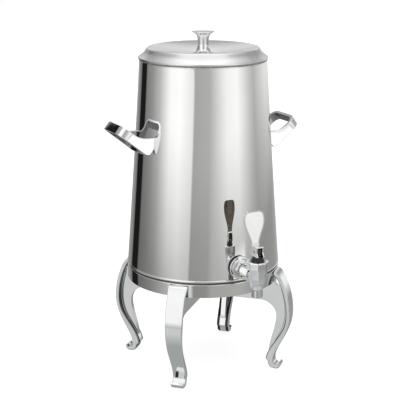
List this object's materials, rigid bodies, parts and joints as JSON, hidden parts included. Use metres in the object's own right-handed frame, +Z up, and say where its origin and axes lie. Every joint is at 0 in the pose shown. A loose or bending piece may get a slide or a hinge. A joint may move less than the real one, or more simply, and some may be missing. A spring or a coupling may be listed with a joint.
{
  "type": "insulated coffee urn",
  "caption": "Insulated stainless coffee urn: tapered double wall on a banded base with cabriole legs, lift-off lid with knob, side handles and a lever tap.",
  "frame": {"origin": "on the urn's axis at table level, in the plane of the four soles", "axes": "+Z up along the urn's axis; the tap points to -Y; the side handles lie along +X and -X"},
  "size_m": [0.3336, 0.3285, 0.5667],
  "materials": {
    "polished_steel": "mirror polished stainless sheet",
    "dark_steel": "dark joint line between body and base",
    "satin_steel": "satin stainless sheet",
    "foam": "rigid insulating foam",
    "cast_chrome": "cast metal, bright plated, slightly soft polish",
    "tap_chrome": "plated brass, bright",
    "zinc_steel": "bright zinc",
    "black_rubber": "black rubber",
    "black_plastic": "black moulded plastic, slightly glossy",
    "silicone": "white silicone",
    "spring_steel": "bright spring wire",
    "lever_metal": "pale satin metal with a bright raised edge",
    "brushed_lid": "spun lid with a fine radial brush"
  },
  "bodies": {
    "urn": {"outer_shell": "polished_steel", "shell_bottom": "dark_steel", "inner_liner": "satin_steel", "insulation": "foam", "mouth_ring": "polished_steel", "base_band": "polished_steel", "base_plate": "satin_steel", "leg_front_left": "cast_chrome", "leg_front_right": "cast_chrome", "leg_rear_left": "cast_chrome", "leg_rear_right": "cast_chrome", "leg_hub": "cast_chrome", "hub_bolt": "zinc_steel", "leg_screws": "zinc_steel", "handle_left": "cast_chrome", "handle_right": "cast_chrome", "handle_screws": "zinc_steel", "tap_gasket_outer": "black_rubber", "tap_flange": "tap_chrome", "tap_hex_nut": "tap_chrome", "tap_sleeve": "satin_steel", "tap_body": "tap_chrome", "tap_gasket_inner": "black_rubber", "tap_lock_nut": "tap_chrome", "tap_bonnet": "black_plastic", "spout_tip": "tap_chrome", "return_spring": "spring_steel"},
    "stem": {"valve_stem": "black_plastic", "seat_cup": "silicone"},
    "lever": {"lever_fork": "tap_chrome", "lever_paddle": "lever_metal", "fork_pin": "zinc_steel"},
    "lid": {"lid_shell": "brushed_lid", "lid_pan": "satin_steel", "lid_insulation": "foam", "lid_gasket": "silicone", "lid_knob": "polished_steel", "knob_washer": "black_rubber", "knob_screw": "zinc_steel"}
  },
  "joints": [
    {"name": "lid_lift", "type": "slide", "parent": "urn", "child": "lid", "axis": [0, 0, 1], "range_m": [0, 0.14]},
    {"name": "stem_lift", "type": "slide", "parent": "urn", "child": "stem", "axis": [0, 0, 1], "range_m": [0, 0.003], "stiffness_N_per_m": 500, "springref_m": -0.004, "deforming": ["return_spring"]},
    {"name": "lever_tilt", "type": "hinge", "parent": "stem", "child": "lever", "pos_m": [0, -0.185, 0.2455], "axis": [1, 0, 0], "range_deg": [0, 31]}
  ],
  "couplings": [
    {"joint": "lever_tilt", "follows": "stem_lift", "rad_per_m": 174.5}
  ]
}
